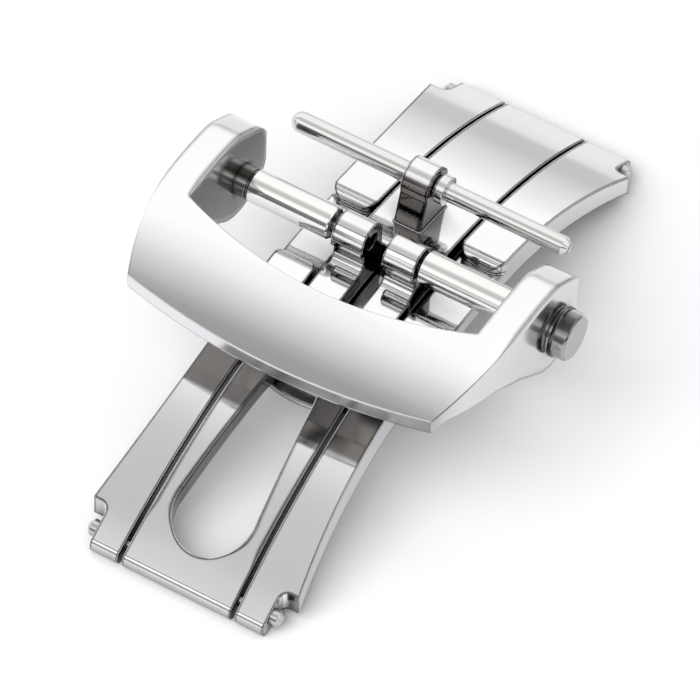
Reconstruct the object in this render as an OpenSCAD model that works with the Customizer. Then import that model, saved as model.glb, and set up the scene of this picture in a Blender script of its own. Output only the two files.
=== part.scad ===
// Butterfly deployant clasp for a watch strap, closed, with a folding buckle
// frame over the near blade and a T-bar for the other strap end.
// X runs across the strap, Y along it (far end +Y), Z up from the wrist side.

/* [Base frame] */
// Length of the base along the strap
clasp_len = 40.2; // [38:0.2:46]
// Rise of the arched top from rail end to crown
arch_rise = 5.7; // [4.6:0.1:7]
// Rail thickness at the ends
end_t = 0.9; // [0.85:0.05:1.3]
// Rail thickness at the crown
mid_t = 1.9; // [1.7:0.05:2.4]
// Width of the base at its waist and at the rail ends
waist_w = 11.2; // [10.6:0.1:13]
// Width of the base across the shoulders beside the notches
shoulder_w = 13.3; // [12.6:0.1:15]
// Length of the notches at the rail ends
notch_len = 2.1; // [1.9:0.05:3]
// Depth of the lowered rail tops under the main bar
step_depth = 0.8; // [0.4:0.05:0.9]

/* [Blades] */
// Width of the near blade at its hinged end
near_end_w = 7; // [6.6:0.1:7.2]
// Width of the near blade where it goes under the buckle frame
near_mid_w = 6.4; // [6:0.1:6.6]
// Width of the near blade at its knuckles
near_neck_w = 5.5; // [5.3:0.1:5.8]
// Width of the far blade
far_w = 5.14; // [4.6:0.02:5.6]
// Thickness of both blades
blade_t = 1.1; // [1:0.05:1.2]
// Gap between the near blade and the rail beside it
near_gap = 0.3; // [0.2:0.02:0.4]
// Gap between the far blade and the rail beside it
far_gap = 0.2; // [0.16:0.02:0.3]
// Distance from the hinged end to the teardrop window
tear_inset = 1.7; // [1.6:0.05:2.4]
// Width of the teardrop window at its round end
tear_w = 4.8; // [4:0.1:5]
// Width of the slot between the two knuckles
slot_w = 1.26; // [0.8:0.02:1.3]
// Diameter of the hinge pins
pin_d = 0.6; // [0.5:0.02:0.66]

/* [Bars] */
// Strap width the clasp is made for
strap_w = 18; // [16:0.5:22]
// Diameter of the rod through the knuckles
rod_d = 1; // [0.9:0.02:1.1]
// Diameter of the rollers on the rod
roller_d = 2; // [1.8:0.05:2.2]
// Height of the rod axis over the crown
rod_h = 1.75; // [1.65:0.05:2.1]
// Diameter of the tube half of the T-bar
tube_d = 1.26; // [1.2:0.02:1.36]
// Diameter of the screw half of the T-bar
screw_d = 1.14; // [1.08:0.02:1.2]
// Height of the T-bar axis over the crown
tbar_h = 2.07; // [1.95:0.02:2.3]
// Diameter of the rod head
head_d = 2.86; // [2.6:0.02:3]

/* [Buckle frame] */
// Thickness of the buckle arms
arm_t = 2; // [1.7:0.05:2.4]
// Distance from the middle of the base to the front edge of the buckle
front_reach = 10.65; // [10.4:0.05:11.4]
// Depth of the crossbar along the strap at its middle
bar_depth = 4.75; // [4.4:0.05:5.2]
// Height of the front face of the crossbar
face_h = 0.88; // [0.7:0.02:1.2]
// Height of the crest of the frame over the rod axis
crest_h = 3.9; // [3.7:0.05:4.2]
// Diameter of the round arm ends
boss_d = 5.8; // [5.4:0.1:6]

/* [Hidden] */
run = 0.03;             // radial clearance of turning fits
face_gap = 0.04;        // end play between turning faces
eps = 0.01;
big = 60;
$fn = 72;
arc_fn = 360;

half_len = clasp_len / 2;
crown_z = end_t + arch_rise;
arch_r = (half_len * half_len + arch_rise * arch_rise) / (2 * arch_rise);
arch_cz = crown_z - arch_r;
foot_l = 0.7;           // flat underside at each end
foot_y = half_len - foot_l;
under_rise = crown_z - mid_t;
under_r = (foot_y * foot_y + under_rise * under_rise) / (2 * under_rise);
under_cz = under_rise - under_r;

// Hinge pins lie in the middle of the blade thickness near each end.
pin_inset = 1.06;
pin_y = half_len - pin_inset;
pin_z = arch_cz + sqrt(pow(arch_r - blade_t / 2, 2) - pin_y * pin_y);
end_round = 0.45;
pin_head_r = 0.5;
pin_head_rim = 0.42;
pin_head_crown = 0.2;

// Plan of the base.
waist_half = waist_w / 2;
shoulder_half = shoulder_w / 2;
flank_y = 6;
notch_y = half_len - notch_len;
flank_run = notch_y - flank_y;
flank_out = shoulder_half - waist_half;
flank_r = (flank_run * flank_run + flank_out * flank_out) / (2 * flank_out);

// Blades and the slots they lie in.
near_end_half = near_end_w / 2;
near_mid_half = near_mid_w / 2;
near_mid_y = -7;
neck_half = near_neck_w / 2;
neck_y = -2.2;
far_half = far_w / 2;
tear_mid = 0.67;        // width share of the teardrop half way up
tear_mid_y = -8.5;
split_y = 2.65;         // where the near slot meets the far slot
tip_gap = 0.44;         // gap between the two blade tips
near_tip_y = split_y - tip_gap / 2;
far_tip_y = split_y + tip_gap / 2;
near_pad_y = -0.2;
far_pad_y = 5;
step_round = 0.6;
pad_corner = 0.8;
knuckle_inset = 0.1;    // step from the blade's neck in to its knuckles
knuckle_half = neck_half - knuckle_inset;

// Rod with its rollers and the knuckles that carry it.
rod_y = 1.35;
rod_z = crown_z + rod_h;
rod_r = rod_d / 2;
roller_r = roller_d / 2;
knuckle_r = near_tip_y - rod_y;
knuckle_fillet = 0.72;
knuckle_lip = 0.35;     // how far the cut over the fillet reaches into the barrel
knuckle_dz = rod_z - crown_z - knuckle_fillet;
rod_recess = 0.5;       // from the inner face of a knuckle to the rod in it
rod_in = slot_w / 2 + rod_recess;
knuckle_fy = rod_y - sqrt(pow(knuckle_r + knuckle_fillet, 2) - knuckle_dz * knuckle_dz);

// T-bar and the hook that holds it.
tbar_y = 6.53;
tbar_z = crown_z + tbar_h;
tube_r = tube_d / 2;
screw_r = screw_d / 2;
shank_r = 0.4;
hook_r = 1.15;
hook_x0 = -1.25;
hook_x1 = 0.47;
hook_foot_y = 4.8;
hook_nose = 0.4;        // straight part under the front of the hook's eye
hook_sink = 0.2;        // foot of the hook below the crown
tbar_half = strap_w / 2;
tbar_neck_r = 0.7;      // turned neck and collar beside the hook
tbar_neck_l = 0.2;
tbar_collar_r = 0.87;
tbar_collar_l = 0.5;
tbar_tip_l = 0.3;       // conical tip with a slot for the screwdriver
tbar_tip_in = 0.26;
tbar_slot_w = 0.2;
tbar_slot_d = 0.2;
tbar_slot_turn = -55;

// Buckle frame.
arm_in = strap_w / 2 + 0.25;
arm_out = arm_in + arm_t;
top_r = 19.7;
top_y = -2;
top_z = rod_z + crest_h;
top_cz = top_z - top_r;
boss_r = boss_d / 2;
boss_y = rod_y + 0.1;
boss_z = rod_z + 0.15;
tip_r = 2.2;            // fillet between the crest and the sloping arm ends
tip_y = 0.5;
tip_z = top_cz + sqrt(pow(top_r - tip_r, 2) - pow(tip_y - top_y, 2));
tip_corner = 1;         // rounding of the arm ends seen from above
front_r = 50;
inner_r = 24;
inner_y = bar_depth - front_reach;
side_r = 18;
side_y = -2.5;

// Underside of the frame in Y and Z: a rise from the front edge, the hollow under the crossbar
// and the foot of the arms, taken from the front edge and from the rod.
under_front = [1.8, 0.72];
under_hollow = [-5, 1.05];
under_arm = [-2.6, -0.35];
under_boss = 2.05;
front_over = [0.6, 0.3]; // how far the outline reaches out past the front edge

// Turned pieces along the rod.
bush_r = 0.95;
collar_x = tbar_half - 0.5;
ring_l = 0.2;
ring_r = head_d / 2 - 0.04;
washer_t = 0.12;
washer_r = head_d / 2 + 0.1;
washer_flat = 1.25;
washer_turn = 126;
head_x = arm_out + ring_l + washer_t + 2 * face_gap;
head_l = 0.85;
rod_end = arm_out - 1.15;
bush_end = rod_end + 0.35;
thin_t = 0.1;
thin_in = 0.1;
roller_edge = 0.1;
roller_left_play = 0.4; // left roller to its knuckle, right roller to its knuckle and arm
roller_right_play = 0.15;
roller_arm_play = 0.12;

// Catch box under the middle of the base.
bridge_r = 7.8;
bridge_drop = blade_t + 0.25;
box_half_x = 4.2;
box_half_y = 6.2;
box_corner = 1;
cavity_h = 0.85;        // from the box's underside to the roof over the springs
roof_drop = 2.5;
cover_t = 0.4;
lip_w = 0.5;
cover_corner = 0.6;
roof_z = crown_z - roof_drop;
box_z = roof_z - cavity_h;
ledge_z = box_z + cover_t;
cover_half_x = box_half_x - lip_w;
cover_half_y = box_half_y - lip_w;
stud_r = 0.35;
near_stud_x = (slot_w / 2 + neck_half) / 2 + 0.3;
near_stud_y = 1.2 - cover_half_y;
far_stud_x = 1.6;
far_stud_y = cover_half_y - 0.7;
stud_travel = 0.4;
stud_run = 0.07;        // clearance of a stud in its slot
stud_in = 0.4;          // depth of a stud in its blade
stud_lift = 0.08;       // from the cover to the end of a stud
wire_r = 0.18;
wire_gap = 0.01;
wire_set = 0.25;        // from the post to the back of a spring
wire_past = 0.45;       // legs past the middle of the studs
post_half = 2.1;
screw_x = 2.4;
cover_screw_r = 0.3;
cover_screw_l = 1;
cover_head_r = 0.6;
cover_head_h = 0.22;
cover_drive_w = 0.16;
cover_drive_d = 0.1;

// Middle of the whole width, because only the right side carries the head.
mid_x = (head_x + head_l - arm_out) / 2;

// Which piece to draw

// Helpers

module centred() {
  translate([-mid_x, 0, 0]) children();
}

// Profile drawn in Y and Z, run along X.
module along_x(x0, x1) {
  translate([x0, 0, 0]) rotate([90, 0, 90]) linear_extrude(x1 - x0) children();
}

module rod_x(x0, x1, r, y, z) {
  translate([x0, y, z]) rotate([0, 90, 0]) cylinder(r = r, h = x1 - x0);
}

module arch_disc(drop) {
  translate([0, arch_cz]) circle(r = arch_r - drop, $fn = arc_fn);
}

// Corners that are left over outside the rounded end of the arch.
module end_corner() {
  difference() {
    translate([half_len - end_round, -1]) square([end_round + 1, end_round + 1]);
    translate([half_len - end_round, end_round]) circle(r = end_round);
  }
  cy = half_len - end_round;
  cz = arch_cz + sqrt(pow(arch_r - end_round, 2) - cy * cy);
  slope = asin(cy / (arch_r - end_round));
  past = 2;
  difference() {
    translate([cy, cz]) polygon([[0, 0], [past * sin(slope), past * cos(slope)], [past, past], [past, 0]]);
    translate([cy, cz]) circle(r = end_round);
  }
}

module box_xy(x0, x1, y0, y1) {
  translate([x0, y0]) square([x1 - x0, y1 - y0]);
}

// Base frame

module notch_plan() {
  r = 0.5;
  box_xy(waist_half + r, big, notch_y, big);
  box_xy(waist_half, big, notch_y + r, big);
  translate([waist_half + r, notch_y + r]) circle(r = r);
}

module base_plan() {
  difference() {
    square([shoulder_w, clasp_len], center = true);
    for (sx = [-1, 1]) scale([sx, 1]) {
      box_xy(waist_half, big, -flank_y, flank_y);
      for (sy = [-1, 1]) scale([1, sy]) {
        translate([waist_half + flank_r, flank_y]) circle(r = flank_r, $fn = arc_fn);
        notch_plan();
      }
    }
  }
}

// Outline of the near blade from y0 to y1, grown by a gap.
module near_sides(gap, y0, y1) {
  e = near_end_half + gap;
  m = near_mid_half + gap;
  n = neck_half + gap;
  polygon([[-e, y0], [e, y0], [e, -half_len], [m, near_mid_y], [n, neck_y], [n, y1],
    [-n, y1], [-n, neck_y], [-m, near_mid_y], [-e, -half_len]]);
}

module blade_slots() {
  near_sides(near_gap, -half_len - 1, split_y);
  box_xy(-far_half - far_gap, far_half + far_gap, split_y - eps, half_len + 1);
}

module rail_profile() {
  difference() {
    arch_disc(0);
    translate([0, under_cz]) circle(r = under_r, $fn = arc_fn);
    translate([-big, -big]) square([2 * big, big]);
    for (s = [-1, 1]) scale([s, 1]) end_corner();
    step_cut();
  }
}

// Lowered rail tops between the near and far pads, with rounded pad ends.
module step_cut() {
  r = step_round;
  low = crown_z - 3;
  near_y = near_pad_y - r;
  near_z = crown_z - r - eps;
  far_y = far_pad_y + r;
  far_z = pad_z(far_y) - r;
  difference() {
    box_xy(near_y, far_y, crown_z - 2 * step_depth, crown_z + 1);
    arch_disc(step_depth);
    translate([near_y, near_z]) circle(r = r);
    box_xy(near_y - eps, near_pad_y, low, near_z);
    translate([far_y, far_z]) circle(r = r);
    box_xy(far_pad_y, far_y + eps, low, far_z);
  }
}

// Corners cut from the pads where they end beside the main bar.
module pad_corners() {
  r = pad_corner;
  for (sx = [-1, 1]) scale([sx, 1]) for (inner = [0, 1]) for (far = [0, 1]) {
    side_x = inner == 1 ? slot_half(far) : waist_half;
    end_y = far == 1 ? far_pad_y : near_pad_y;
    translate([side_x, end_y]) scale([inner == 1 ? 1 : -1, far == 1 ? 1 : -1]) difference() {
      translate([-eps, -eps]) square(r + eps);
      translate([r, r]) circle(r = r);
    }
  }
}

function slot_half(far) = far == 1 ? far_half + far_gap : neck_half + near_gap;

function pad_z(y) = arch_cz + sqrt(arch_r * arch_r - y * y);

module bridge_profile() {
  difference() {
    arch_disc(bridge_drop);
    translate([0, under_cz]) circle(r = under_r, $fn = arc_fn);
  }
}

module stud_slot(x, y, s) {
  r = stud_r + stud_run;
  translate([x, y]) circle(r = r);
  translate([x, y + s * stud_travel]) circle(r = r);
  translate([x - r, min(y, y + s * stud_travel)]) square([2 * r, stud_travel]);
}

module stud_slots() {
  for (sx = [-1, 1]) {
    stud_slot(sx * near_stud_x, near_stud_y, -1);
    stud_slot(sx * far_stud_x, far_stud_y, 1);
  }
}

module rounded_box(hx, hy, r) {
  square([2 * hx - 2 * r, 2 * hy], center = true);
  square([2 * hx, 2 * hy - 2 * r], center = true);
  for (sx = [-1, 1]) for (sy = [-1, 1]) {
    translate([sx * (hx - r), sy * (hy - r)]) circle(r = r);
  }
}

module base_frame() {
  centred() color([0.80, 0.80, 0.82]) difference() {
    union() {
      intersection() {
        along_x(-shoulder_w, shoulder_w) rail_profile();
        linear_extrude(big) difference() {
          base_plan();
          blade_slots();
        }
      }
      intersection() {
        along_x(-neck_half - 1, neck_half + 1) bridge_profile();
        translate([0, 0, -1]) cylinder(r = bridge_r, h = big, $fn = arc_fn);
      }
      intersection() {
        translate([0, 0, box_z]) linear_extrude(roof_z - box_z + 1) {
          rounded_box(box_half_x, box_half_y, box_corner);
        }
        along_x(-box_half_x - 1, box_half_x + 1) arch_disc(bridge_drop);
      }
    }
    // Recess for the cover, then the two pockets for the springs.
    translate([0, 0, box_z - 1]) linear_extrude(cover_t + 1) {
      rounded_box(cover_half_x, cover_half_y, cover_corner);
    }
    for (s = [-1, 1]) {
      translate([0, s * (post_half + cover_half_y) / 2, (ledge_z + roof_z) / 2 - 0.5]) {
        cube([2 * cover_half_x - 1, cover_half_y - post_half - 0.4, roof_z - ledge_z + 1], center = true);
      }
    }
    translate([0, 0, ledge_z]) linear_extrude(5) stud_slots();
    difference() {
      translate([0, 0, crown_z - 2 * step_depth]) linear_extrude(2 * step_depth + 1) pad_corners();
      along_x(-shoulder_w, shoulder_w) arch_disc(step_depth);
    }
    for (s = [-1, 1]) {
      rod_x(-big, big, pin_d / 2, s * pin_y, pin_z);
      translate([s * screw_x, 0, box_z]) cylinder(r = cover_screw_r, h = cover_screw_l + cover_t);
    }
  }
}

module hinge_pin(s) {
  y = s * pin_y;
  centred() color([0.72, 0.72, 0.74]) {
    rod_x(-waist_half, waist_half, pin_d / 2, y, pin_z);
    for (t = [-1, 1]) translate([t * waist_half, y, pin_z]) rotate([0, t * 90, 0]) {
      cylinder(r = pin_head_r, h = pin_head_rim);
      translate([0, 0, pin_head_rim]) {
        cylinder(r1 = pin_head_r, r2 = pin_head_r / 2, h = pin_head_crown);
      }
    }
  }
}

module near_hinge_pin() {
  hinge_pin(-1);
}

module far_hinge_pin() {
  hinge_pin(1);
}

module catch_cover() {
  centred() color([0.68, 0.68, 0.70]) difference() {
    translate([0, 0, box_z]) linear_extrude(cover_t) rounded_box(cover_half_x, cover_half_y, cover_corner);
    for (s = [-1, 1]) {
      translate([s * screw_x, 0, box_z - eps]) {
        cylinder(r = cover_screw_r, h = cover_t + 2 * eps);
        cylinder(r = cover_head_r, h = cover_head_h + eps);
      }
    }
  }
}

module cover_screws() {
  centred() color([0.55, 0.55, 0.58]) for (s = [-1, 1]) {
    translate([s * screw_x, 0, box_z]) difference() {
      union() {
        cylinder(r = cover_head_r, h = cover_head_h);
        cylinder(r = cover_screw_r, h = cover_t + cover_screw_l);
      }
      cube([2, cover_drive_w, 2 * cover_drive_d], center = true);
    }
  }
}

// U-shaped wire whose legs bear on the outer sides of two studs.
module catch_spring(stud_x, stud_y, s) {
  leg_x = stud_x + stud_r + wire_gap + wire_r;
  z = ledge_z + wire_r;
  back_y = s * (post_half + wire_set + wire_r);
  tip_y = stud_y + s * wire_past;
  centred() color([0.50, 0.50, 0.53]) {
    rod_x(-leg_x, leg_x, wire_r, back_y, z);
    for (t = [-1, 1]) {
      translate([t * leg_x, back_y, z]) sphere(r = wire_r);
      translate([t * leg_x, min(back_y, tip_y), z]) rotate([-90, 0, 0]) {
        cylinder(r = wire_r, h = abs(tip_y - back_y));
      }
    }
  }
}

module near_catch_spring() {
  catch_spring(near_stud_x, near_stud_y, -1);
}

module far_catch_spring() {
  catch_spring(far_stud_x, far_stud_y, 1);
}

// Blades

module blade_profile() {
  difference() {
    arch_disc(0);
    arch_disc(blade_t);
    translate([-big, -big]) square([2 * big, big]);
    for (s = [-1, 1]) scale([s, 1]) end_corner();
  }
}

function stud_top(y) = arch_cz + sqrt(pow(arch_r - blade_t, 2) - y * y) + stud_in;

module teardrop_plan() {
  r = tear_w / 2;
  cy = -half_len + tear_inset + r;
  q = tear_mid * r;
  n = slot_w / 2;
  polygon([[-r, cy], [-q, tear_mid_y], [-n, neck_y], [-n, big], [n, big], [n, neck_y],
    [q, tear_mid_y], [r, cy]]);
  translate([0, cy]) circle(r = r);
}

module near_plan() {
  difference() {
    union() {
      near_sides(0, -half_len, near_pad_y + knuckle_inset);
      box_xy(-knuckle_half, knuckle_half, near_pad_y, near_tip_y);
    }
    teardrop_plan();
  }
}

module knuckle_profile() {
  difference() {
    union() {
      translate([rod_y, rod_z]) circle(r = knuckle_r);
      box_xy(knuckle_fy, near_tip_y, crown_z - blade_t / 2, rod_z);
    }
    translate([knuckle_fy, rod_z - knuckle_dz]) circle(r = knuckle_fillet);
    box_xy(knuckle_fy - 1, knuckle_fy + knuckle_lip, rod_z - knuckle_dz, rod_z + 1);
  }
}

module near_blade() {
  centred() color([0.84, 0.84, 0.86]) difference() {
    union() {
      intersection() {
        along_x(-near_end_half - 1, near_end_half + 1) blade_profile();
        linear_extrude(big) near_plan();
      }
      for (s = [-1, 1]) scale([s, 1, 1]) {
        along_x(slot_w / 2, knuckle_half) knuckle_profile();
      }
    }
    rod_x(-big, big, rod_r + run, rod_y, rod_z);
    rod_x(-big, big, pin_d / 2 + run, -pin_y, pin_z);
    for (s = [-1, 1]) translate([s * near_stud_x, near_stud_y, 0]) {
      cylinder(r = stud_r, h = stud_top(near_stud_y));
    }
  }
}

module catch_studs(x, y) {
  z0 = ledge_z + stud_lift;
  centred() color([0.60, 0.60, 0.62]) for (s = [-1, 1]) {
    translate([s * x, y, z0]) cylinder(r = stud_r, h = stud_top(y) - z0);
  }
}

module near_catch_studs() {
  catch_studs(near_stud_x, near_stud_y);
}

module far_catch_studs() {
  catch_studs(far_stud_x, far_stud_y);
}

module hook_profile() {
  back_y = tbar_y + hook_r;
  base = pad_z(back_y) - blade_t / 2;
  translate([tbar_y, tbar_z]) circle(r = hook_r);
  polygon([[hook_foot_y, base], [back_y, base], [back_y, tbar_z], [tbar_y - hook_r, tbar_z],
    [tbar_y - hook_r, tbar_z - hook_nose], [hook_foot_y, crown_z - hook_sink]]);
}

module far_blade() {
  centred() color([0.84, 0.84, 0.86]) difference() {
    union() {
      intersection() {
        along_x(-far_half - 1, far_half + 1) blade_profile();
        linear_extrude(big) box_xy(-far_half, far_half, far_tip_y, half_len);
      }
      along_x(hook_x0, hook_x1) hook_profile();
    }
    rod_x(-big, big, shank_r + run, tbar_y, tbar_z);
    rod_x(-big, big, pin_d / 2 + run, pin_y, pin_z);
    for (s = [-1, 1]) translate([s * far_stud_x, far_stud_y, 0]) {
      cylinder(r = stud_r, h = stud_top(far_stud_y));
    }
  }
}

// T-bar: the screw half runs through the hook into the tube half.

module strap_bar_screw() {
  x0 = hook_x1 + face_gap;
  x1 = x0 + tbar_neck_l;
  x2 = x1 + tbar_collar_l;
  x3 = tbar_half - tbar_tip_l;
  centred() color([0.78, 0.78, 0.80]) difference() {
    union() {
      rod_x(-tbar_half / 2, x0 + eps, shank_r, tbar_y, tbar_z);
      rod_x(x0, x1, tbar_neck_r, tbar_y, tbar_z);
      rod_x(x1, x2, tbar_collar_r, tbar_y, tbar_z);
      rod_x(x2, x3, screw_r, tbar_y, tbar_z);
      translate([x3, tbar_y, tbar_z]) rotate([0, 90, 0]) {
        cylinder(r1 = screw_r, r2 = screw_r - tbar_tip_in, h = tbar_tip_l);
      }
    }
    translate([tbar_half, tbar_y, tbar_z]) rotate([tbar_slot_turn, 0, 0]) {
      cube([2 * tbar_slot_d, tbar_slot_w, 2 * tube_d], center = true);
    }
  }
}

module strap_bar_tube() {
  x1 = hook_x0 - face_gap;
  centred() color([0.80, 0.80, 0.82]) difference() {
    union() {
      rod_x(-tbar_half + tube_r, x1, tube_r, tbar_y, tbar_z);
      translate([-tbar_half + tube_r, tbar_y, tbar_z]) sphere(r = tube_r);
    }
    rod_x(-tbar_half / 2 - 0.2, x1 + 1, shank_r + run, tbar_y, tbar_z);
  }
}

// Buckle frame

// Corner left over outside a rounded arm end, at the point x, y.
module tip_corner_cut(x, y, turn, r) {
  translate([x, y]) scale([turn, 1]) difference() {
    translate([-r, -r]) square(r + 1);
    translate([-r, -r]) circle(r = r);
  }
}

module buckle_plan() {
  end_y = boss_y + boss_r;
  difference() {
    intersection() {
      union() {
        box_xy(-arm_out, arm_out, side_y, big);
        intersection_for(s = [-1, 1]) {
          translate([s * (arm_out - side_r), side_y]) circle(r = side_r, $fn = arc_fn);
        }
      }
      translate([0, front_r - front_reach]) circle(r = front_r, $fn = arc_fn);
    }
    intersection() {
      box_xy(-arm_in, arm_in, -big, big);
      translate([0, inner_r + inner_y]) circle(r = inner_r, $fn = arc_fn);
    }
    for (s = [-1, 1]) {
      tip_corner_cut(s * arm_out, end_y, s, tip_corner);
      tip_corner_cut(s * arm_in, end_y, -s, tip_corner / 3);
    }
  }
}

// Angle of the normal of the straight slope that touches the fillet and the round arm end.
slope_turn = atan2(boss_z - tip_z, boss_y - tip_y)
  + acos((tip_r - boss_r) / norm([boss_y - tip_y, boss_z - tip_z]));

module buckle_profile() {
  front = [-front_reach, top_cz + sqrt(top_r * top_r - pow(-front_reach - top_y, 2)) - face_h];
  boss = [boss_y, boss_z];
  tip = [tip_y, tip_z];
  slope = [cos(slope_turn), sin(slope_turn)];
  crest = [tip_y - top_y, tip_z - top_cz] / (top_r - tip_r);
  intersection() {
    union() {
      translate(boss) circle(r = boss_r);
      translate(tip) circle(r = tip_r);
      polygon([front - front_over, front, front + under_front, under_hollow + [0, rod_z],
        under_arm + [0, rod_z], boss - [under_boss, under_boss], boss, boss + boss_r * slope,
        tip + tip_r * slope, tip + tip_r * crest, [tip_y + tip_r * crest[0], top_z + 2],
        [front[0] - front_over[0], top_z + 2]]);
    }
    translate([top_y, top_cz]) circle(r = top_r, $fn = arc_fn);
  }
}

module buckle_frame() {
  centred() color([0.86, 0.86, 0.88]) difference() {
    intersection() {
      along_x(-arm_out, arm_out) buckle_profile();
      linear_extrude(big) buckle_plan();
    }
    rod_x(0, big, bush_r, rod_y, rod_z);
    rod_x(-bush_end, 0, bush_r, rod_y, rod_z);
  }
}

module left_bush() {
  centred() color([0.66, 0.64, 0.60]) difference() {
    rod_x(-bush_end, -collar_x, bush_r, rod_y, rod_z);
    rod_x(-rod_end, big, rod_r, rod_y, rod_z);
  }
}

// Pivot pressed in the left arm, which carries the left roller and ends in its knuckle.
module left_rod() {
  centred() color([0.74, 0.74, 0.76]) rod_x(-rod_end, -rod_in, rod_r, rod_y, rod_z);
}

module right_bush() {
  centred() color([0.70, 0.70, 0.72]) difference() {
    union() {
      rod_x(arm_in, arm_out, bush_r, rod_y, rod_z);
      rod_x(arm_out, arm_out + ring_l, ring_r, rod_y, rod_z);
    }
    rod_x(-big, big, rod_r + run, rod_y, rod_z);
  }
}

module bar_washer() {
  centred() color([0.30, 0.30, 0.32]) difference() {
    rod_x(-collar_x, -collar_x + thin_t, bush_r - thin_in, rod_y, rod_z);
    rod_x(-big, big, rod_r + run, rod_y, rod_z);
  }
}

// Headed rod on the right with its flattened washer, and the two rollers

module headed_rod() {
  edge = 0.14;
  centred() color([0.74, 0.74, 0.76]) {
    rod_x(rod_in, head_x + eps, rod_r, rod_y, rod_z);
    rod_x(head_x, head_x + head_l - edge, head_d / 2, rod_y, rod_z);
    translate([head_x + head_l - edge, rod_y, rod_z]) rotate([0, 90, 0]) {
      cylinder(r1 = head_d / 2, r2 = head_d / 2 - edge, h = edge);
    }
  }
}

module head_washer() {
  x0 = head_x - face_gap - washer_t;
  centred() color([0.08, 0.08, 0.09]) difference() {
    intersection() {
      rod_x(x0, head_x, washer_r, rod_y, rod_z);
      translate([x0, rod_y, rod_z]) rotate([washer_turn, 0, 0]) {
        translate([0, -washer_flat, -head_d]) cube([washer_t + 1, 2 * washer_flat, 2 * head_d]);
      }
    }
    rod_x(-big, big, rod_r, rod_y, rod_z);
  }
}

module roller(x0, x1) {
  edge = roller_edge;
  centred() color([0.80, 0.80, 0.82]) difference() {
    union() {
      rod_x(x0 + edge, x1 - edge, roller_r, rod_y, rod_z);
      translate([x0, rod_y, rod_z]) rotate([0, 90, 0]) {
        cylinder(r1 = roller_r - edge, r2 = roller_r, h = edge);
      }
      translate([x1 - edge, rod_y, rod_z]) rotate([0, 90, 0]) {
        cylinder(r1 = roller_r, r2 = roller_r - edge, h = edge);
      }
    }
    rod_x(-big, big, rod_r + run, rod_y, rod_z);
  }
}

module left_roller() {
  roller(-collar_x + thin_t + face_gap, -knuckle_half - roller_left_play);
}

module right_roller() {
  roller(knuckle_half + roller_right_play, arm_in - roller_arm_play);
}

base_frame();
near_hinge_pin();
far_hinge_pin();
catch_cover();
cover_screws();
near_catch_spring();
far_catch_spring();
near_blade();
near_catch_studs();
far_blade();
far_catch_studs();
strap_bar_screw();
strap_bar_tube();
buckle_frame();
left_bush();
left_rod();
right_bush();
bar_washer();
headed_rod();
head_washer();
left_roller();
right_roller();
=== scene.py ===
"""Dresses the butterfly deployant clasp: polished steel materials, floor, studio light and camera."""
import math

import bpy
from mathutils import Matrix, Vector

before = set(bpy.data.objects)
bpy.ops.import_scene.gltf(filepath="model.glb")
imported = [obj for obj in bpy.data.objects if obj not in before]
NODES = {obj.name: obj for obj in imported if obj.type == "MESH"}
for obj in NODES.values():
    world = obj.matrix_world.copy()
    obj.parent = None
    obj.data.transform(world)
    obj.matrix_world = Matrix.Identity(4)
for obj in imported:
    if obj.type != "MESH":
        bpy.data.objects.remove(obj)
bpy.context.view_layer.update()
MM = 0.001

# Camera, solved from the photograph: angles in degrees, place in mm, clipping in metres.
PHOTO_PIXELS = 700
FOCAL_PIXELS = 7640.8
CAMERA_AZIMUTH = 29.743
CAMERA_ELEVATION = 50.335
CAMERA_ROLL = 2.074
CAMERA_PLACE = (134.715, -238.67, 331.50)
CLIP_START = 0.02
CLIP_END = 20
SENSOR_WIDTH = 36.0


def add_camera():
    data = bpy.data.cameras.new("camera")
    data.sensor_width = SENSOR_WIDTH
    data.lens = FOCAL_PIXELS / PHOTO_PIXELS * SENSOR_WIDTH
    data.clip_start = CLIP_START
    data.clip_end = CLIP_END
    camera = bpy.data.objects.new("camera", data)
    bpy.context.scene.collection.objects.link(camera)
    turn = (
        Matrix.Rotation(math.radians(CAMERA_AZIMUTH), 4, "Z")
        @ Matrix.Rotation(math.radians(90 - CAMERA_ELEVATION), 4, "X")
        @ Matrix.Rotation(math.radians(CAMERA_ROLL), 4, "Z")
    )
    camera.matrix_world = Matrix.Translation(Vector(CAMERA_PLACE) * MM) @ turn
    bpy.context.scene.camera = camera


# Shader helpers


def add_node(tree, kind, **values):
    node = tree.nodes.new(kind)
    for name, value in values.items():
        setattr(node, name, value)
    return node


def add_math(tree, operation, first, second):
    """Math node. Each operand is a number or an output socket."""
    node = add_node(tree, "ShaderNodeMath", operation=operation)
    for socket, value in zip(node.inputs, (first, second)):
        if isinstance(value, (int, float)):
            socket.default_value = value
        else:
            tree.links.new(value, socket)
    return node.outputs[0]


def add_ramp(tree, factor, stops):
    """Linear ramp. Each stop is a place from 0 to 1 with a grey level or a colour."""
    node = add_node(tree, "ShaderNodeValToRGB")
    elements = node.color_ramp.elements
    while len(elements) < len(stops):
        elements.new(0.5)
    for element, (place, level) in zip(elements, stops):
        colour = level if isinstance(level, tuple) else (level, level, level)
        element.position = place
        element.color = (*colour, 1)
    tree.links.new(factor, node.inputs["Fac"])
    return node.outputs["Color"]


def ramp_over(tree, value, low, high, stops):
    """Ramp with its stops given on the scale of the value, which runs from low to high."""
    share = add_math(tree, "DIVIDE", add_math(tree, "SUBTRACT", value, low), high - low)
    return add_ramp(tree, share, [((place - low) / (high - low), level) for place, level in stops])


# Half the side in mm of a box that holds every piece, the scale of the ramps by place.
HALF_SIZE = 21


def ramp_by_place(tree, value, stops):
    """Ramp over one part of the place, with its stops given in mm."""
    size = HALF_SIZE * MM
    return ramp_over(tree, value, -size, size, [(place * MM, level) for place, level in stops])


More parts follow.
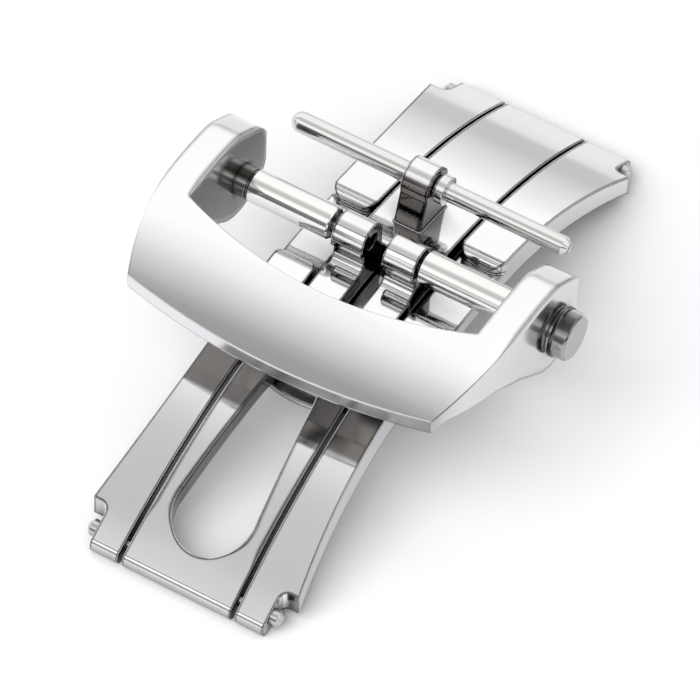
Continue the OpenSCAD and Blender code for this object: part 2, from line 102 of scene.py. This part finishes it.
def mix(tree, first, second, blend="MULTIPLY"):
    node = add_node(tree, "ShaderNodeMix", data_type="RGBA", blend_type=blend)
    node.inputs["Factor"].default_value = 1
    tree.links.new(first, node.inputs["A"])
    tree.links.new(second, node.inputs["B"])
    return node.outputs["Result"]


def split(tree, vector):
    node = add_node(tree, "ShaderNodeSeparateXYZ")
    tree.links.new(vector, node.inputs[0])
    return node.outputs


# Stretches of the noise: drawn out along X, along Y or round the X axis, or even.
ALONG_X = (0.02, 1, 1)
ALONG_Y = (1, 0.02, 1)
ROUND_X = (1, 0.04, 0.04)
EVEN = (1, 1, 1)


def stretched_noise(tree, stretch, scale, detail=3.0):
    """Noise in the piece's own metres, drawn out along one axis to look like polishing lines."""
    place = add_node(tree, "ShaderNodeTexCoord")
    mapping = add_node(tree, "ShaderNodeMapping")
    mapping.inputs["Scale"].default_value = stretch
    noise = add_node(tree, "ShaderNodeTexNoise")
    noise.inputs["Scale"].default_value = scale
    noise.inputs["Detail"].default_value = detail
    tree.links.new(place.outputs["Object"], mapping.inputs["Vector"])
    tree.links.new(mapping.outputs["Vector"], noise.inputs["Vector"])
    return noise.outputs["Fac"]


# Polishing lines, and the clouds that make the tone and the roughness a little uneven.
LINE_SCALE = 9000
LINE_HEIGHT = 0.01 * MM
CLOUD_SCALE = 160
CLOUD_DETAIL = 4
CLOUD_SHARES = [(0.3, 0.965), (0.7, 1.0)]
ROUGH_SHARES = [(0.3, 0.8), (0.7, 1.3)]

BEVEL_SAMPLES = 12
CREVICE_SAMPLES = 8

# Share of open sky at which the painted crevice shade is at its darkest, and at which there is none.
CREVICE_DARK = 0.15
CREVICE_NONE = 0.75

# X times the X part of the normal, in metres, is negative on side faces that look at the middle
# plane, which get painted shade: the ends of the scale, and where such a face has its full painted
# shade and where it has none.
SIDEWAYS_END = 10 * MM
SIDEWAYS_FULL = -6 * MM
SIDEWAYS_NONE = -2 * MM

# Share of the tone by the cosine between the rounded and the true surface: a thin painted dark line,
# a painted reflection, where a polished face starts to roll over its edge.
PAINTED_RIM_LINE = [(0.75, 1.0), (0.85, 0.5), (0.90, 0.08), (0.992, 0.08), (0.998, 0.4), (1.0, 1.0)]
NO_PAINTED_RIM_LINE = [(0.70, 1.0), (1.0, 1.0)]


def rounded_normal(tree, edge, place):
    """Normal of the surface with its edges rounded, by one radius in mm or a list of (y, radius)."""
    bevel = add_node(tree, "ShaderNodeBevel", samples=BEVEL_SAMPLES)
    if isinstance(edge, (int, float)):
        bevel.inputs["Radius"].default_value = edge * MM
    else:
        radius = ramp_by_place(tree, place["Y"], [(y, value * MM) for y, value in edge])
        tree.links.new(radius, bevel.inputs["Radius"])
    return bevel.outputs["Normal"]


def lined_normal(tree, rounded, fine, lines):
    """Rounded normal with the polishing lines on it. lines is their strength."""
    bump = add_node(tree, "ShaderNodeBump")
    bump.inputs["Strength"].default_value = lines
    bump.inputs["Distance"].default_value = LINE_HEIGHT
    tree.links.new(fine, bump.inputs["Height"])
    tree.links.new(rounded, bump.inputs["Normal"])
    return bump.outputs["Normal"]


def inward_shade_level(tree, place, true_normal, inward_shade):
    """Painted shade: a level that is the inward share on side faces that look at the middle plane,
    and 1 elsewhere.
    """
    sideways = add_math(tree, "MULTIPLY", place["X"], split(tree, true_normal)["X"])
    stops = [(SIDEWAYS_FULL, inward_shade), (SIDEWAYS_NONE, 1.0)]
    return ramp_over(tree, sideways, -SIDEWAYS_END, SIDEWAYS_END, stops)


def painted_rim_level(tree, rounded, true_normal, rim):
    """Painted rim line: level by how far the rounded surface turns away from the true one."""
    roll = add_node(tree, "ShaderNodeVectorMath", operation="DOT_PRODUCT")
    tree.links.new(rounded, roll.inputs[0])
    tree.links.new(true_normal, roll.inputs[1])
    return ramp_over(tree, roll.outputs["Value"], 0, 1, rim)


def crevice_shade_level(tree, rounded, shade_reach, shade_depth):
    """Painted shade that falls to the given depth in gaps and inner corners, out to the reach in mm.
    """
    node = add_node(tree, "ShaderNodeAmbientOcclusion", samples=CREVICE_SAMPLES)
    node.inputs["Distance"].default_value = shade_reach * MM
    tree.links.new(rounded, node.inputs["Normal"])
    return add_ramp(tree, node.outputs["AO"], [(CREVICE_DARK, shade_depth), (CREVICE_NONE, 1.0)])


def steel(name, tone, rough, grain, lines=0.04, edge=0.10, rim=NO_PAINTED_RIM_LINE, painted_shading=(), inward_shade=1.0,
          shade_reach=1.4, shade_depth=0.06):
    """Polished stainless steel: bright metal with soft edges, faint polishing lines, painted shade in
    crevices.

    edge is the edge radius in mm, or a list of (y, radius). The list of painted shading gives
    (source, axis, blend, stops) for painted shade and painted highlights that make parts duller or
    brighter than the rest, by a part of the surface normal or by the place in mm. The inward share is
    the share of the tone left as painted shade on side faces that look at the middle plane. The shade
    reach is how far the painted crevice shade reaches in mm, the shade depth the share of the tone
    left in it. The rim stops give a painted dark line where a face rolls over its edge.
    """
    material = bpy.data.materials.new(name)
    material.use_nodes = True
    tree = material.node_tree
    shader = tree.nodes["Principled BSDF"]
    shader.inputs["Metallic"].default_value = 1
    fine = stretched_noise(tree, grain, LINE_SCALE)
    cloudy = stretched_noise(tree, EVEN, CLOUD_SCALE, CLOUD_DETAIL)
    place = split(tree, add_node(tree, "ShaderNodeTexCoord").outputs["Object"])
    rounded = rounded_normal(tree, edge, place)
    true_normal = add_node(tree, "ShaderNodeNewGeometry").outputs["Normal"]
    tree.links.new(lined_normal(tree, rounded, fine, lines), shader.inputs["Normal"])

    facing = split(tree, rounded)
    share = add_ramp(tree, cloudy, CLOUD_SHARES)
    # Painted shade and painted highlights by normal or place, then painted shade on inward side
    # faces, a painted dark rim line and painted crevice shade.
    for source, axis, blend, stops in painted_shading:
        if source == "normal":
            level = ramp_over(tree, facing[axis], -1, 1, stops)
        else:
            level = ramp_by_place(tree, place[axis], stops)
        share = mix(tree, share, level, blend)
    share = mix(tree, share, inward_shade_level(tree, place, true_normal, inward_shade))
    share = mix(tree, share, painted_rim_level(tree, rounded, true_normal, rim))
    share = mix(tree, share, crevice_shade_level(tree, rounded, shade_reach, shade_depth))
    base = add_node(tree, "ShaderNodeRGB")
    base.outputs[0].default_value = (*tone, 1)
    tree.links.new(mix(tree, base.outputs[0], share), shader.inputs["Base Color"])

    wear = add_math(tree, "MULTIPLY", add_math(tree, "ADD", fine, cloudy), 0.5)
    roughness = add_ramp(tree, wear, [(place, factor * rough) for place, factor in ROUGH_SHARES])
    tree.links.new(roughness, shader.inputs["Roughness"])
    return material


def dress(material, *names):
    for name in names:
        for place in NODES[name].material_slots:
            place.material = material


# Painted shading on the buckle frame: its underside is painted dark as shade but for a painted
# highlight strip along its front edge, the slope down to that edge is painted a little duller than
# the crest, and the right edge is painted dark where it rolls over.
FRAME_PAINTED_SHADING = [
    ("normal", "Z", "MULTIPLY", [(-1, (0.34, 0.32, 0.30)), (-0.85, (0.34, 0.32, 0.30)), (-0.5, 1.0)]),
    ("place", "Z", "LIGHTEN", [(9.52, 1.0), (9.60, 0.0)]),
    ("normal", "Y", "MULTIPLY", [(-0.60, 1.0), (-0.50, 0.60), (-0.43, 0.58), (-0.39, 0.62),
                                 (-0.36, 0.80), (-0.32, 0.93), (-0.27, 1.0)]),
    ("normal", "X", "MULTIPLY", [(0.10, 1.0), (0.19, 0.32), (0.50, 0.36), (0.75, 0.88)]),
]

# Painted shade: walls of the blades that look to +X are painted dark, and the hook's wall towards the
# buckle is painted a brownish shade.
WALL_PAINTED_SHADE = ("normal", "X", "MULTIPLY", [(0.5, 1.0), (0.8, 0.18)])
HOOK_PAINTED_SHADE = ("normal", "Y", "MULTIPLY", [(-1, (0.30, 0.275, 0.26)), (-0.85, (0.32, 0.295, 0.28)),
                                           (-0.6, 1.0)])

# Painted shading where the top rolls over the near end: a painted dark line, then a painted
# highlight band and a face painted duller.
END_PAINTED_SHADING = ("normal", "Y", "MULTIPLY", [(-1, 0.80), (-0.94, 0.85), (-0.87, 1.28), (-0.63, 1.28),
                                          (-0.59, 0.30), (-0.555, 0.30), (-0.53, 1.0)])

# Painted shading on the rod head: its drum is painted dark with a painted highlight band at the back
# and a paler painted band below, and its face is painted evenly lighter. The washer is painted black
# as shade where it stands out, and the collar is painted dark with two painted highlight lines.
DRUM_PAINTED_SHADING = ("normal", "Y", "MULTIPLY", [(-0.9, 0.45), (-0.7, 0.50), (-0.5, 0.15), (-0.25, 0.06),
                                           (0.05, 0.12), (0.3, 0.35), (0.55, 0.80), (0.75, 0.35),
                                           (0.9, 0.15)])
CAP_PAINTED_LIGHT = ("normal", "X", "LIGHTEN", [(0.6, 0.0), (0.85, 0.50)])
WASHER_PAINTED_SHADE = ("normal", "Y", "MULTIPLY", [(-0.7, 0.03), (-0.5, 1.0), (0.3, 1.0), (0.5, 0.03)])
COLLAR_PAINTED_SHADING = ("normal", "Y", "MULTIPLY", [(-0.9, 0.30), (-0.75, 0.90), (-0.6, 0.30), (-0.45, 0.08),
                                             (0, 0.10), (0.25, 0.50), (0.45, 1.0), (0.6, 0.50),
                                             (0.8, 0.12)])

# Edge radii in mm by the place along Y in mm.
FRAME_EDGES = [(-5, 0.14), (-3, 0.60)]
BLADE_EDGES = [(-17.8, 0.20), (-16.8, 0.45), (-13, 0.35), (-5, 0.20)]

# Tones of the metal.
BRIGHT = (0.770, 0.770, 0.775)
TURNED = (0.77, 0.765, 0.75)
BAR = (0.68, 0.676, 0.663)
HEAD = (0.80, 0.80, 0.77)
COLLAR = (0.80, 0.78, 0.74)
PIN = (0.50, 0.50, 0.49)
SATIN = (0.60, 0.60, 0.61)


def dress_pieces():
    dress(steel("rail_steel", BRIGHT, 0.07, ALONG_Y, edge=0.20, rim=PAINTED_RIM_LINE, painted_shading=[END_PAINTED_SHADING],
                inward_shade=0.15, shade_reach=2.5),
          "base_frame")
    dress(steel("blade_steel", BRIGHT, 0.07, ALONG_Y, edge=BLADE_EDGES, rim=PAINTED_RIM_LINE,
                painted_shading=[WALL_PAINTED_SHADE, END_PAINTED_SHADING], shade_reach=2.5),
          "near_blade")
    dress(steel("hook_steel", BRIGHT, 0.07, ALONG_Y, edge=0.22, rim=PAINTED_RIM_LINE,
                painted_shading=[WALL_PAINTED_SHADE, HOOK_PAINTED_SHADE], shade_reach=2.5),
          "far_blade")
    dress(steel("frame_steel", BRIGHT, 0.15, ALONG_X, edge=FRAME_EDGES, painted_shading=FRAME_PAINTED_SHADING,
                inward_shade=0.55, shade_reach=4.0),
          "buckle_frame")
    dress(steel("turned_steel", TURNED, 0.10, ROUND_X, edge=0.06, shade_depth=0.15),
          "left_roller", "right_roller")
    dress(steel("bar_steel", BAR, 0.12, ROUND_X, edge=0.06, shade_depth=0.15),
          "strap_bar_tube", "strap_bar_screw")
    dress(steel("head_steel", HEAD, 0.14, ROUND_X, edge=0.12, painted_shading=[DRUM_PAINTED_SHADING, CAP_PAINTED_LIGHT],
                shade_reach=0.5, shade_depth=0.6),
          "headed_rod", "right_bush", "left_rod")
    dress(steel("washer_steel", HEAD, 0.14, ROUND_X, painted_shading=[DRUM_PAINTED_SHADING, WASHER_PAINTED_SHADE],
                shade_reach=0.5, shade_depth=0.6),
          "head_washer")
    dress(steel("collar_steel", COLLAR, 0.12, ROUND_X, edge=0.06, painted_shading=[COLLAR_PAINTED_SHADING], shade_reach=0.8),
          "left_bush", "bar_washer")
    dress(steel("pin_steel", PIN, 0.14, ROUND_X, edge=0.10, shade_depth=0.2),
          "near_hinge_pin", "far_hinge_pin")
    dress(steel("satin_steel", SATIN, 0.32, ALONG_Y, lines=0.12, edge=0.06),
          "catch_cover", "cover_screws", "near_catch_spring", "far_catch_spring", "near_catch_studs",
          "far_catch_studs")


# Surroundings

# White paper under the clasp, in metres, a hair below its lowest point. Its tone is mottled.
FLOOR_HALF = 1.5
FLOOR_DROP = 0.02 * MM
FLOOR_ROUGHNESS = 0.9
FLOOR_SPECULAR = 0.1
MOTTLE_SCALE = 40
MOTTLE_DETAIL = 2
FLOOR_TONES = [(0.3, (0.595, 0.590, 0.605)), (0.7, (0.605, 0.602, 0.615))]


def add_floor():
    mesh = bpy.data.meshes.new("floor")
    corners = [(-FLOOR_HALF, -FLOOR_HALF, 0), (FLOOR_HALF, -FLOOR_HALF, 0),
               (FLOOR_HALF, FLOOR_HALF, 0), (-FLOOR_HALF, FLOOR_HALF, 0)]
    mesh.from_pydata(corners, [], [(0, 1, 2, 3)])
    floor = bpy.data.objects.new("floor", mesh)
    bpy.context.scene.collection.objects.link(floor)
    floor.location.z = -FLOOR_DROP
    material = bpy.data.materials.new("floor_paper")
    material.use_nodes = True
    tree = material.node_tree
    shader = tree.nodes["Principled BSDF"]
    shader.inputs["Roughness"].default_value = FLOOR_ROUGHNESS
    shader.inputs["Specular IOR Level"].default_value = FLOOR_SPECULAR
    mottle = stretched_noise(tree, EVEN, MOTTLE_SCALE, MOTTLE_DETAIL)
    tree.links.new(add_ramp(tree, mottle, FLOOR_TONES), shader.inputs["Base Color"])
    mesh.materials.append(material)


# Brightness of the surroundings by the angle in degrees from the far horizon over the top to the
# near horizon: a pale wall, a bright tent overhead, a greyer gap, a bright panel above the near
# side and a dark band below it.
TENT = [(0, 0.72), (5, 0.71), (8, 0.82), (11, 0.92), (14, 1.02), (18, 1.13), (21, 1.27), (78, 1.32),
        (87, 1.02), (92, 0.86), (96, 0.76), (100, 0.73), (105, 0.72), (110, 0.70), (113, 0.73),
        (117, 0.84), (128, 1.35), (146, 1.35), (153, 0.5), (165, 0.25), (176, 0.3), (180, 0.6)]

# Share of the brightness by the X part of the direction: a faint dip a little to the +X side.
SIDE = [(-1, 1), (-0.1, 1), (0.15, 0.95), (1, 1)]


def add_world():
    world = bpy.data.worlds.new("studio")
    world.use_nodes = True
    tree = world.node_tree
    background = tree.nodes["Background"]
    place = add_node(tree, "ShaderNodeTexCoord")
    parts = split(tree, place.outputs["Generated"])
    angle = add_math(tree, "ARCTAN2", parts["Z"], parts["Y"])
    height = add_ramp(tree, add_math(tree, "DIVIDE", angle, math.pi),
                      [(degrees / 180, value) for degrees, value in TENT])
    side = add_ramp(tree, add_math(tree, "ADD", add_math(tree, "MULTIPLY", parts["X"], 0.5), 0.5),
                    [(0.5 * (x + 1), value) for x, value in SIDE])
    tree.links.new(mix(tree, height, side), background.inputs["Color"])
    background.inputs["Strength"].default_value = 1
    bpy.context.scene.world = world


# Soft key light from the near side, in metres and watts. It isn't seen in the reflections.
KEY_PLACE = (-0.05, -0.35, 0.35)
KEY_SIDE = 0.5
KEY_POWER = 3.7


def add_key_light():
    data = bpy.data.lights.new("key", "AREA")
    data.shape = "SQUARE"
    data.size = KEY_SIDE
    data.energy = KEY_POWER
    light = bpy.data.objects.new("key", data)
    bpy.context.scene.collection.objects.link(light)
    place = Vector(KEY_PLACE)
    light.location = place
    light.rotation_mode = "QUATERNION"
    light.rotation_quaternion = (-place).to_track_quat("-Z", "Y")
    light.visible_glossy = False


def set_picture():
    settings = bpy.context.scene.view_settings
    settings.view_transform = "Standard"
    settings.look = "None"


add_camera()
dress_pieces()
add_floor()
add_world()
add_key_light()
set_picture()
